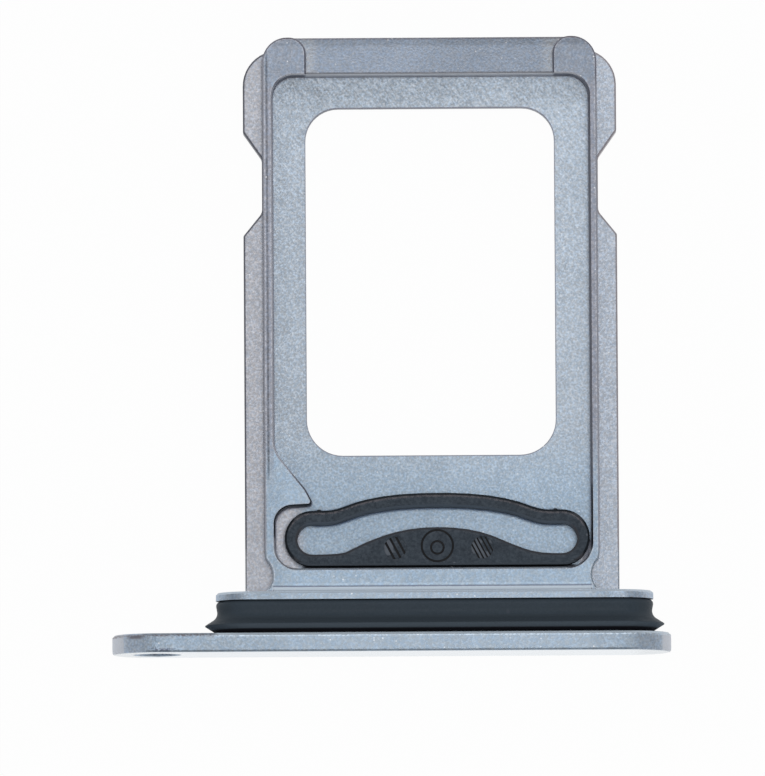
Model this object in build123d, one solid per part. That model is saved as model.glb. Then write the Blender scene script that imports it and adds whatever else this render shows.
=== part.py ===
from build123d import *
import os

# Tray for two nano cards, in millimetres. The tray slides into its device along +Y, Z runs
# through its thickness, and the origin is the centre of the front plate's outer face.

# Front plate: a flat plate with fully round ends, pierced by the hole for the release pin.
plate_width = 15.95
plate_height = 2.57
plate_thickness = 0.55
plate_front_round = 0.08
plate_back_bevel = 0.07
pin_hole_diameter = 1.18
pin_hole_mouth = 0.11

# Seal groove and flange behind the plate. The tray's centre line lies beside the plate's centre,
# and the flange and its seal lie a little beside the tray's.
tray_shift = 1.17
groove_width = 0.97
groove_depth = 0.41
flange_width = 12.49
flange_thickness = 0.23
flange_step = 0.12
flange_edge_bevel = 0.06
flange_shift = 0.06

# Rubber seal: a ring with round ends. From the flange forwards its section has a rounded bead,
# a slight waist and a wiping lip that leans out and towards the front plate.
seal_width = 0.91
seal_clearance = 0.01
seal_bead_proud = 0.02
seal_bead_round = 0.13
seal_waist_forward = 0.45
seal_waist_drop = 0.082
seal_waist_round = 0.25
seal_lip_forward = 0.70
seal_lip_reach = 0.33
seal_tip_round = 0.02

# Card, and the room it has in its pocket.
card_width = 8.80
card_length = 12.30
card_thickness = 0.67
card_side_room = 0.125
card_flush_drop = 0.01
card_side_ledge = 0.845
card_near_ledge = 1.43
card_far_ledge = 0.91

# Tray body: two pockets back to back, one on each side of a thin web.
web_thickness = 0.34
rim_wall = 0.245
pocket_shift = 0.025
near_bar = 0.65
clip_room = 1.83
end_bar = 1.075
body_corner_round = 0.70
body_edge_bevel = 0.04
window_near_round = 1.03
window_far_round = 0.93
pocket_far_round = 0.62
pocket_near_round = 0.70
cove_length = 0.14
cove_height = 0.07
cove_radius = 0.16
cove_inset = 0.24

# Stop block at one corner of each pocket, for the cut corner of the card, and the clip's recess.
block_top = 3.375
block_knee_in = 0.90
block_knee_down = 1.115
block_tip_in = 1.13
block_tip_down = 1.555
block_underside_drop = 0.06
block_top_round = 0.88
block_knee_round = 0.60
block_tip_round = 0.10
recess_side_out = 0.024
recess_far_round = 0.50
recess_near_round = 0.62

# Lead-in ramp across the far end, between two corner posts.
ramp_half_width = 3.53
ramp_lip_drop = 0.08
ramp_near_bevel = 0.05
ramp_fall = 0.22
post_inner_round = 0.48

# Guide rails along both sides, each with a latch notch.
rail_reach = 0.565
rail_height = 0.70
rail_end_setback = 0.32
rail_corner_round = 1.03
rail_edge_bevel = 0.045
notch_near_end = 11.96
notch_length = 2.97
notch_depth = 0.535
notch_near_ramp = 0.66
notch_far_ramp = 0.76
notch_floor_round = 0.30
notch_shoulder_round = 0.10
runout_radius = 0.62
runout_bite = 0.22
runout_from_flange = 0.45
runout_blend = 0.30

# Card clip: a closed loop of plastic with a sprung arch on one side and a thick foot on the other.
clip_shift = 0.146
clip_end_room = 0.175
clip_back_gap = 0.07
clip_top_drop = 0.04
clip_loop_radius = 0.79
clip_arm_thickness = 0.39
clip_leg_thickness = 0.33
clip_arch_rise = 0.495
clip_arch_shoulder_in = 1.85
clip_arch_shoulder_rise = 0.17
clip_arch_end_in = 1.15
clip_foot_rise = 0.765
clip_foot_mid_in = 2.87
clip_foot_mid_rise = 0.545
clip_foot_flank_in = 1.95
clip_foot_flank_rise = 0.165
clip_foot_end_in = 1.05
clip_seat_end_in = 1.60
clip_seat_depth = 1.40
clip_arm_lift = 0.03
clip_edge_bevel = 0.06
clip_nub_in = 0.98
clip_nub_radius = 0.085
clip_nub_proud = 0.04
clip_nub_drop = 0.12
clip_peg_radius = 0.35
clip_peg_clearance = 0.01

# Mould marks sunk in the top of the clip's foot: a gate ring and two ejector discs with slots.
gate_mark_up = 0.56
gate_mark_depth = 0.03
gate_ring_radius = 0.446
gate_eye_radius = 0.18
gate_eye_drop = 0.05
gate_ring_width = 0.06
disc_mark_up = 0.50
disc_radius = 0.32
disc_depth = 0.015
disc_slot_depth = 0.06
disc_slot_angle = 118
left_disc_out = -1.20
left_slot_count = 3
left_slot_pitch = 0.17
left_slot_width = 0.065
right_disc_out = 1.28
right_slot_count = 5
right_slot_pitch = 0.11
right_slot_width = 0.045

# Sizes that follow from the ones above.
flange_front = plate_thickness + groove_width
flange_back = flange_front + flange_thickness
pocket_near = flange_back + near_bar
card_near = pocket_near + clip_room
pocket_far = card_near + card_length
body_end = pocket_far + end_bar
pocket_depth = card_thickness + card_flush_drop
body_height = web_thickness + 2 * pocket_depth
body_top = body_height / 2
web_top = web_thickness / 2
pocket_half_width = card_width / 2 + card_side_room
body_half_width = pocket_half_width + rim_wall
rail_half_width = body_half_width + rail_reach
flange_height = body_height + 2 * flange_step
neck_root = plate_thickness / 2
clip_height = pocket_depth - clip_top_drop
clip_half_length = pocket_half_width - clip_end_room
clip_back_y = pocket_near + clip_back_gap
margin = 1.0


def rounded_outline(corners):
    """Face inside the closed outline through (x, y, round) corners."""
    points = [(x, y) for x, y, _ in corners]
    rounds = [r for _, _, r in corners]
    return make_face(FilletPolyline(*points, radius=rounds, close=True))


def plate_facing(y):
    """Plane square to the tray's length, looking along +Y."""
    return Plane(origin=(0, y, 0), x_dir=(1, 0, 0), z_dir=(0, 1, 0))


def obround_slab(width, height, front, back):
    """Flat slab with fully round ends, between two distances from the front."""
    return extrude(plate_facing(front) * SlotOverall(width, height), amount=back - front)


def slab(face, height):
    """Plan face made into a slab that lies evenly about the middle plane."""
    return extrude(face, amount=height / 2, both=True)


def both_faces(part):
    """The part with its copy turned half a turn about the tray's long axis."""
    return [part, Rot(0, 180, 0) * part]


def edges_at_height(part, z):
    """Edges that lie flat at one height."""
    flat = part.edges().filter_by(lambda e: e.bounding_box().size.Z < 1e-4)
    return flat.filter_by(lambda e: abs(e.center().Z - z) < 1e-4)


def front_plate():
    plate = obround_slab(plate_width, plate_height, 0, plate_thickness)
    plate = fillet(plate.faces().sort_by(Axis.Y)[0].edges(), plate_front_round)
    plate = chamfer(plate.faces().sort_by(Axis.Y)[-1].edges(), plate_back_bevel)
    hole = Pos(-(plate_width - plate_height) / 2, 0) * Circle(pin_hole_diameter / 2)
    bore = extrude(plate_facing(0) * hole, amount=plate_thickness)
    plate -= bore
    mouth = plate.edges().filter_by(
        lambda e: e.geom_type == GeomType.CIRCLE and abs(e.radius - pin_hole_diameter / 2) < 1e-4
    )
    return chamfer(mouth.sort_by(Axis.Y)[0], pin_hole_mouth)


def neck_and_flange():
    neck_width = flange_width - 2 * groove_depth
    neck_height = flange_height - 2 * groove_depth
    neck = obround_slab(neck_width, neck_height, neck_root, flange_back)
    flange = obround_slab(flange_width, flange_height, flange_front, flange_back)
    flange = chamfer(flange.faces().sort_by(Axis.Y)[-1].edges(), flange_edge_bevel)
    return Pos(flange_shift, 0, 0) * (neck + flange)


def rail_plan():
    """Plan of the two rails and the plate between them, with the latch notches."""
    near = notch_near_end
    far = near + notch_length
    floor = rail_half_width - notch_depth
    side = [
        (rail_half_width, flange_front, 0),
        (rail_half_width, near, notch_shoulder_round),
        (floor, near + notch_near_ramp, notch_floor_round),
        (floor, far - notch_far_ramp, notch_floor_round),
        (rail_half_width, far, notch_shoulder_round),
        (rail_half_width, body_end - rail_end_setback, rail_corner_round),
    ]
    other = [(-x, y, r) for x, y, r in reversed(side)]
    return rounded_outline(side + other)


def body_plan():
    """Plan of the thick body, with the cutter's round run-outs beside the flange."""
    half = body_half_width
    plan = rounded_outline(
        [
            (-half, flange_front, 0),
            (half, flange_front, 0),
            (half, body_end, body_corner_round),
            (-half, body_end, body_corner_round),
        ]
    )
    runout_x = half - runout_bite + runout_radius
    runout_y = flange_back + runout_from_flange
    for side in (-1, 1):
        plan -= Pos(side * runout_x, runout_y) * Circle(runout_radius)
    cusps = plan.vertices().filter_by(
        lambda v: abs(abs(v.X) - half) < 1e-4 and runout_y < v.Y < runout_y + runout_radius
    )
    return fillet(cusps, runout_blend)


def pocket_plan():
    """Plan of one pocket: the card's bay, the stop block's corner and the clip's recess."""
    left = pocket_shift - pocket_half_width
    right = pocket_shift + pocket_half_width
    block_y = pocket_near + block_top
    underside = block_y - block_tip_down
    recess = left + recess_side_out
    return rounded_outline(
        [
            (right, pocket_near, pocket_near_round),
            (right, pocket_far, pocket_far_round),
            (left, pocket_far, pocket_far_round),
            (left, block_y, block_top_round),
            (left + block_knee_in, block_y - block_knee_down, block_knee_round),
            (left + block_tip_in, underside, block_tip_round),
            (recess, underside - block_underside_drop, recess_far_round),
            (recess, pocket_near, recess_near_round),
        ]
    )


def window_plan():
    half = card_width / 2 - card_side_ledge
    near = card_near + card_near_ledge
    far = pocket_far - card_far_ledge
    return rounded_outline(
        [
            (-half, near, window_near_round),
            (half, near, window_near_round),
            (half, far, window_far_round),
            (-half, far, window_far_round),
        ]
    )


def ramp_cut():
    """Wedge taken off the end bar, with the posts' inner corners rounded outwards."""
    flare = ramp_half_width + post_inner_round + body_corner_round
    side = [
        (ramp_half_width, pocket_far - margin, 0),
        (ramp_half_width, body_end, post_inner_round),
        (flare, body_end, 0),
        (flare, body_end + margin, 0),
    ]
    other = [(-x, y, r) for x, y, r in reversed(side)]
    column = extrude(rounded_outline(side + other), amount=body_height)
    start = body_top - ramp_lip_drop
    crest = pocket_far + ramp_near_bevel
    slope = ramp_fall / (body_end - crest)
    beyond = body_end + margin
    profile = Polyline(
        (0, pocket_far - margin, start - ramp_near_bevel),
        (0, pocket_far, start - ramp_near_bevel),
        (0, crest, start),
        (0, beyond, start - slope * (beyond - crest)),
        (0, beyond, body_height),
        (0, pocket_far - margin, body_height),
        close=True,
    )
    wedge = extrude(make_face(profile), amount=rail_half_width, dir=(1, 0, 0), both=True)
    return column & wedge


def root_coves():
    """Small concave fillets where the body's broad faces meet the back of the flange."""
    foot = (flange_back + cove_length, body_top)
    crest = (flange_back, body_top + cove_height)
    rooted = [
        crest,
        (flange_front, body_top + cove_height),
        (flange_front, web_top),
        (flange_back + cove_length, web_top),
        foot,
    ]
    section = make_face([Polyline(*rooted), RadiusArc(foot, crest, cove_radius)])
    length = body_half_width - cove_inset
    return both_faces(extrude(Plane.YZ * section, amount=length, both=True))


def tray_metal():
    body = slab(body_plan(), body_height)
    cuts = extrude(Pos(0, 0, web_top) * pocket_plan(), amount=body_height)
    for cut in both_faces(cuts) + both_faces(ramp_cut()):
        body -= cut
    for top in (body_top, -body_top):
        body = chamfer(edges_at_height(body, top), body_edge_bevel)
    rails = slab(rail_plan(), rail_height)
    for top in (rail_height / 2, -rail_height / 2):
        rails = chamfer(edges_at_height(rails, top), rail_edge_bevel)
    for cut in both_faces(cuts):
        rails -= cut
    metal = body + rails + neck_and_flange()
    for cove in root_coves():
        metal += cove
    metal -= slab(window_plan(), body_height)
    peg_hole = Pos(0, clip_back_y + gate_mark_up) * Circle(clip_peg_radius + clip_peg_clearance)
    metal -= slab(peg_hole, body_height)
    return Pos(tray_shift, 0, 0) * metal + front_plate()


def seal_section():
    """Section of the seal above the tray's axis, as distances along Y and up Z."""
    edge = flange_height / 2
    bead = edge + seal_bead_proud
    back = flange_front - seal_clearance
    front = back - seal_width
    outline = [
        (front, edge - groove_depth, 0),
        (back, edge - groove_depth, 0),
        (back, bead, seal_bead_round),
        (back - seal_waist_forward, bead - seal_waist_drop, seal_waist_round),
        (back - seal_lip_forward, edge + seal_lip_reach, seal_tip_round),
        (front, edge, 0),
    ]
    return Plane.YZ * rounded_outline(outline)


def seal_ring():
    """Seal section carried round the flange's outline: two straight runs and two round ends."""
    section = seal_section()
    straight = (flange_width - flange_height) / 2
    ring = Part() + both_faces(extrude(section, amount=straight, both=True))
    for side in (-1, 1):
        axis = Axis((side * straight, 0, 0), (0, 1, 0))
        ring += revolve(Pos(side * straight, 0, 0) * section, axis=axis, revolution_arc=side * 180)
    return Pos(tray_shift + flange_shift, 0, 0) * ring


def clip_plan():
    """Outline of the clip in plan, its straight back edge on Y = 0, less its inner space."""
    loop_x = clip_half_length - clip_loop_radius
    top = 2 * clip_loop_radius
    end = clip_half_length - clip_arch_end_in
    shoulder = clip_half_length - clip_arch_shoulder_in
    arch = [
        (-end, top),
        (-shoulder, top + clip_arch_shoulder_rise),
        (0, top + clip_arch_rise),
        (shoulder, top + clip_arch_shoulder_rise),
        (end, top),
    ]
    level = ((1, 0), (1, 0))
    outside = [
        Spline(*arch, tangents=level),
        Line((end, top), (loop_x, top)),
        RadiusArc((loop_x, top), (loop_x, 0), clip_loop_radius),
        Line((loop_x, 0), (-loop_x, 0)),
        RadiusArc((-loop_x, 0), (-loop_x, top), clip_loop_radius),
        Line((-loop_x, top), (-end, top)),
    ]
    inner_top = top - clip_arm_thickness
    leg = clip_leg_thickness
    inner_round = (inner_top - leg) / 2
    foot_end = clip_half_length - clip_foot_end_in
    flank = (clip_half_length - clip_foot_flank_in, leg + clip_foot_flank_rise)
    middle = (clip_half_length - clip_foot_mid_in, leg + clip_foot_mid_rise)
    foot_right = [(foot_end, leg), flank, middle]
    foot_left = [(-x, y) for x, y in reversed(foot_right)]
    foot = foot_right + [(0, leg + clip_foot_rise)] + foot_left
    inside = [
        Spline(*[(x, y - clip_arm_thickness) for x, y in arch], tangents=level),
        Line((end, inner_top), (loop_x, inner_top)),
        RadiusArc((loop_x, inner_top), (loop_x, leg), inner_round),
        Line((loop_x, leg), (foot_end, leg)),
        Spline(*foot, tangents=((-1, 0), (-1, 0))),
        Line((-foot_end, leg), (-loop_x, leg)),
        RadiusArc((-loop_x, leg), (-loop_x, inner_top), inner_round),
        Line((-loop_x, inner_top), (-end, inner_top)),
    ]
    return make_face(outside) - make_face(inside)


def ring_groove(radius):
    half = gate_ring_width / 2
    return Circle(radius + half) - Circle(radius - half)


def slotted_disc(count, pitch, width):
    """Sunk disc crossed by slanting slots, as a face for the disc and one for its slots."""
    first = -pitch * (count - 1) / 2
    bar = Rectangle(2 * disc_radius, width)
    places = [Rot(0, 0, disc_slot_angle) * Pos(0, first + i * pitch) for i in range(count)]
    disc = Circle(disc_radius)
    return disc, disc & Sketch() + [place * bar for place in places]


def mould_marks():
    """Cuts for the marks, in the clip's own plan."""
    ring = Pos(0, gate_mark_up, clip_height) * ring_groove(gate_ring_radius)
    eye = Pos(0, gate_mark_up - gate_eye_drop, clip_height) * ring_groove(gate_eye_radius)
    marks = [extrude(groove, amount=-gate_mark_depth) for groove in (ring, eye)]
    discs = [
        (left_disc_out, left_slot_count, left_slot_pitch, left_slot_width),
        (right_disc_out, right_slot_count, right_slot_pitch, right_slot_width),
    ]
    for out, count, pitch, width in discs:
        place = Pos(out, disc_mark_up, clip_height)
        disc, bars = slotted_disc(count, pitch, width)
        marks.append(extrude(place * disc, amount=-disc_depth))
        marks.append(extrude(place * bars, amount=-disc_slot_depth))
    return marks


def card_clip():
    """Upper clip where it lies in the tray, its foot on the web and its arm just clear of it."""
    plan = clip_plan()
    clip = extrude(Pos(0, 0, clip_arm_lift) * plan, amount=clip_height - clip_arm_lift)
    clip = chamfer(edges_at_height(clip, clip_height), clip_edge_bevel)
    seat_width = 2 * (clip_half_length - clip_seat_end_in)
    seat = plan & Pos(0, clip_seat_depth / 2) * Rectangle(seat_width, clip_seat_depth)
    clip += extrude(seat, amount=clip_arm_lift)
    nub_x = clip_half_length - clip_nub_in
    nub_y = 2 * clip_loop_radius + clip_nub_proud - clip_nub_radius
    nub_top = clip_height - clip_nub_drop
    for side in (-1, 1):
        nub = Pos(side * nub_x, nub_y, clip_arm_lift) * Circle(clip_nub_radius)
        clip += extrude(nub, amount=nub_top - clip_arm_lift)
    for mark in mould_marks():
        clip -= mark
    clip = Pos(clip_shift, clip_back_y, web_top) * clip
    peg = Pos(0, clip_back_y + gate_mark_up) * Circle(clip_peg_radius)
    return clip + extrude(peg, amount=web_top)


def save(name, part):
    export_step(part, f"parts/{name}.step")


os.makedirs("parts", exist_ok=True)
upper_clip, lower_clip = both_faces(card_clip())
save("tray_body", tray_metal())
save("seal_ring", seal_ring())
save("card_clip_upper", Pos(tray_shift, 0, 0) * upper_clip)
save("card_clip_lower", Pos(tray_shift, 0, 0) * lower_clip)
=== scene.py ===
import bpy
import math
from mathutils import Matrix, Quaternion, Vector


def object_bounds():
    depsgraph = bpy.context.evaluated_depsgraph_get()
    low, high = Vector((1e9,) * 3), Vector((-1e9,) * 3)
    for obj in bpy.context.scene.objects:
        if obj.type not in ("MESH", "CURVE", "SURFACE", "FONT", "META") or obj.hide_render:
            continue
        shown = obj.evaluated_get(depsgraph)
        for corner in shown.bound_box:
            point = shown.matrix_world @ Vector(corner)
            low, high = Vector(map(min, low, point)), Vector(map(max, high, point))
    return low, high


# Metal card tray with plastic clips and a rubber seal, on a white table under soft studio light.
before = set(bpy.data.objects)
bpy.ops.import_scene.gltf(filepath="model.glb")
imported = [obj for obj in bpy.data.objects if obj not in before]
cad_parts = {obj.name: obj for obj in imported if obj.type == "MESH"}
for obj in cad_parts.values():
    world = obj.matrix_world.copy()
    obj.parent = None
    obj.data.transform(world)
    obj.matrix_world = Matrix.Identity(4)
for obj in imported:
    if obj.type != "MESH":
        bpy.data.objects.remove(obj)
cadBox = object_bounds()
mm = 0.001  # every length in the dictionaries below is in millimetres
print("frame loaded:", ", ".join(sorted(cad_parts)))


def addNode(tree, kind, label="", **settings):
    node = tree.nodes.new(kind)
    node.label = label
    for name, value in settings.items():
        setattr(node, name, value)
    return node


def fill(socket, value):
    # a socket takes either a number, a colour or another node's output
    if isinstance(value, bpy.types.NodeSocket):
        socket.id_data.links.new(value, socket)
    else:
        socket.default_value = value


def maths(tree, operation, first, second=0.0, clamp=False):
    node = addNode(tree, "ShaderNodeMath", operation=operation, use_clamp=clamp)
    fill(node.inputs[0], first)
    fill(node.inputs[1], second)
    return node.outputs[0]


def joined(tree, operation, values):
    result = values[0]
    for value in values[1:]:
        result = maths(tree, operation, result, value)
    return result


def times(tree, *values):
    return joined(tree, "MULTIPLY", values)


def plus(tree, *values):
    return joined(tree, "ADD", values)


def largest(tree, *values):
    return joined(tree, "MAXIMUM", values)


def minus(tree, first, second):
    return maths(tree, "SUBTRACT", first, second)


def opposite(tree, mask):
    return minus(tree, 1.0, mask)


def centred(tree, mask, amount):
    # a mask of 0 to 1 made a change of plus or minus half the amount
    return times(tree, minus(tree, mask, 0.5), amount)


def ramp(tree, value, fromMin, fromMax, toMin=0.0, toMax=1.0):
    # soft step from one value to another
    node = addNode(tree, "ShaderNodeMapRange", interpolation_type="SMOOTHSTEP")
    numbers = {"Value": value, "From Min": fromMin, "From Max": fromMax, "To Min": toMin, "To Max": toMax}
    for name, number in numbers.items():
        fill(node.inputs[name], number)
    return node.outputs["Result"]


def band(tree, value, low, high, soft):
    # 1 between two values, with soft ends
    return times(tree, ramp(tree, value, low - soft, low + soft), ramp(tree, value, high + soft, high - soft))


def zone(tree, value, limits):
    # two limits are where a mask is 0 and where it is 1, and four add what it gives in place of 0 and 1;
    # three are from where to where it is 1, and how soft its ends are
    shape = band if len(limits) == 3 else ramp
    return shape(tree, value, *limits)


def within(tree, *places):
    # 1 only where each value is inside its own limits
    return times(tree, *[zone(tree, value, limits) for value, limits in places])


def byMask(tree, mask, amounts):
    # the first amount off the mask, the second on it
    return ramp(tree, mask, 0.0, 1.0, *amounts)


def mixColour(tree, factor, first, second, blend="MIX"):
    node = addNode(tree, "ShaderNodeMix", data_type="RGBA", blend_type=blend)
    fill(node.inputs["Factor"], factor)
    fill(node.inputs["A"], first)
    fill(node.inputs["B"], second)
    return node.outputs["Result"]


def paint(tree, colour, look, *layers):
    # lays tones over a colour, one after another, each through its mask
    for mask, tone in layers:
        colour = mixColour(tree, mask, colour, look[tone])
    return colour


def newMaterial(name):
    material = bpy.data.materials.new(name)
    material.use_nodes = True
    tree = material.node_tree
    tree.nodes.clear()
    output = addNode(tree, "ShaderNodeOutputMaterial")
    shader = addNode(tree, "ShaderNodeBsdfPrincipled")
    tree.links.new(shader.outputs["BSDF"], output.inputs["Surface"])
    return material, tree, shader


def millimetres(tree):
    # object coordinates in millimetres
    coordinates = addNode(tree, "ShaderNodeTexCoord")
    scaled = addNode(tree, "ShaderNodeVectorMath", operation="SCALE")
    tree.links.new(coordinates.outputs["Object"], scaled.inputs[0])
    scaled.inputs["Scale"].default_value = 1 / mm
    return scaled.outputs[0]


def splitAxes(tree, vector):
    axes = addNode(tree, "ShaderNodeSeparateXYZ")
    tree.links.new(vector, axes.inputs[0])
    return axes.outputs["X"], axes.outputs["Y"], axes.outputs["Z"]


def grainBump(tree, shader, height):
    bump = addNode(tree, "ShaderNodeBump")
    bump.inputs["Distance"].default_value = mm
    fill(bump.inputs["Height"], height)
    fill(shader.inputs["Normal"], bump.outputs["Normal"])


def newGroup(name, inputs, outputs):
    tree = bpy.data.node_groups.new(name, "ShaderNodeTree")
    for socketName, kind, value in inputs:
        socket = tree.interface.new_socket(socketName, in_out="INPUT", socket_type=kind)
        if value is not None:
            socket.default_value = value
    for socketName in outputs:
        tree.interface.new_socket(socketName, in_out="OUTPUT", socket_type="NodeSocketFloat")
    return tree, addNode(tree, "NodeGroupInput"), addNode(tree, "NodeGroupOutput")


def useGroup(tree, group, values):
    node = addNode(tree, "ShaderNodeGroup", node_tree=group)
    for name, value in values.items():
        fill(node.inputs[name], value)
    return node.outputs


grainSettings = {
    "hueScale": 0.7,  # the change of hue is coarser than the grain
    "roughness": 0.65,
    "contrast": (0.30, 0.70),
    "dotSize": (0.24, 0.10),  # share of a cell, at the dot's rim and inside it
    "dotShare": (0.82, 0.98),  # only the cells that draw more than this have a dot
}


def makeSurfaceGrain(settings):
    # Speckle is fine grain, Tint is the same grain's change of hue, Mottle is broad cloudiness,
    # all from 0 to 1 about 0.5, and Specks is 1 on a few tiny bright dots
    inputs = [
        ("Place", "NodeSocketVector", None),
        ("Fine", "NodeSocketFloat", 15.0),
        ("Broad", "NodeSocketFloat", 1.5),
        ("Dots", "NodeSocketFloat", 4.0),
    ]
    tree, source, result = newGroup("surfaceGrain", inputs, ["Speckle", "Tint", "Mottle", "Specks"])
    fine = source.outputs["Fine"]
    hueScale = times(tree, fine, settings["hueScale"])
    layers = [("Speckle", fine, 2.0), ("Tint", hueScale, 1.0), ("Mottle", source.outputs["Broad"], 2.0)]
    for output, scale, detail in layers:
        noise = addNode(tree, "ShaderNodeTexNoise", output)
        tree.links.new(source.outputs["Place"], noise.inputs["Vector"])
        fill(noise.inputs["Scale"], scale)
        noise.inputs["Detail"].default_value = detail
        noise.inputs["Roughness"].default_value = settings["roughness"]
        fill(result.inputs[output], zone(tree, noise.outputs["Fac"], settings["contrast"]))
    cells = addNode(tree, "ShaderNodeTexVoronoi")
    tree.links.new(source.outputs["Place"], cells.inputs["Vector"])
    fill(cells.inputs["Scale"], source.outputs["Dots"])
    drawn = addNode(tree, "ShaderNodeSeparateColor")
    tree.links.new(cells.outputs["Color"], drawn.inputs[0])
    small = zone(tree, cells.outputs["Distance"], settings["dotSize"])
    fill(result.inputs["Specks"], times(tree, small, zone(tree, drawn.outputs[0], settings["dotShare"])))
    return tree


edgeSettings = {
    "cavity": (0.80, 0.35),  # open share of the surroundings
    "edge": (0.9985, 0.985),  # how far the rounded normal agrees with the face's own
    "core": (0.988, 0.962),
    "farTurn": (0.02, 0.12),  # rounded normal's turn to the far end
    "flat": (0.80, 0.88),  # the next five are parts of the face's normal: upwards here
    "bevel": (0.3, 0.5),  # upwards
    "upright": (0.45, 0.30),  # upwards
    "nearTurn": (-0.4, -0.8),  # along
    "sideTurn": (-0.6, -0.3),  # along
    "samples": 8,
}


def makeEdgeLines(settings):
    # Cavity is 1 in tight inner corners, Edge is 1 beside outer edges, Core only right beside them,
    # Far Edge only beside those that face the tray's far end, Flat is 1 where a face lies level
    # with the tray or nearly so, Bevel on faces between level and upright, Near Wall on faces
    # turned to the front plate and Side Wall on upright faces turned any other way
    outputs = ["Cavity", "Edge", "Core", "Far Edge", "Flat", "Bevel", "Near Wall", "Side Wall"]
    inputs = [("Reach", "NodeSocketFloat", 0.06), ("Edge Width", "NodeSocketFloat", 0.05)]
    tree, source, result = newGroup("edgeLines", inputs, outputs)
    shade = addNode(tree, "ShaderNodeAmbientOcclusion", samples=settings["samples"], only_local=False)
    fill(shade.inputs["Distance"], times(tree, source.outputs["Reach"], mm))
    rounded = addNode(tree, "ShaderNodeBevel", samples=settings["samples"])
    fill(rounded.inputs["Radius"], times(tree, source.outputs["Edge Width"], mm))
    facing = addNode(tree, "ShaderNodeNewGeometry")
    same = addNode(tree, "ShaderNodeVectorMath", operation="DOT_PRODUCT")
    tree.links.new(rounded.outputs["Normal"], same.inputs[0])
    tree.links.new(facing.outputs["True Normal"], same.inputs[1])
    _, roundedAlong, _ = splitAxes(tree, rounded.outputs["Normal"])
    _, faceAlong, faceUp = splitAxes(tree, facing.outputs["True Normal"])
    level = maths(tree, "ABSOLUTE", faceUp)
    edge = zone(tree, same.outputs["Value"], settings["edge"])
    flat = zone(tree, level, settings["flat"])
    upright = zone(tree, level, settings["upright"])
    masks = {
        "Cavity": zone(tree, shade.outputs["AO"], settings["cavity"]),
        "Edge": edge,
        "Core": zone(tree, same.outputs["Value"], settings["core"]),
        "Far Edge": times(tree, edge, zone(tree, roundedAlong, settings["farTurn"])),
        "Flat": flat,
        "Bevel": times(tree, zone(tree, level, settings["bevel"]), opposite(tree, flat)),
        "Near Wall": zone(tree, faceAlong, settings["nearTurn"]),
        "Side Wall": times(tree, upright, zone(tree, faceAlong, settings["sideTurn"])),
    }
    for name, mask in masks.items():
        fill(result.inputs[name], mask)
    return tree


surfaceGrain = makeSurfaceGrain(grainSettings)
edgeLines = makeEdgeLines(edgeSettings)
print("shared shader groups made")


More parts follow.
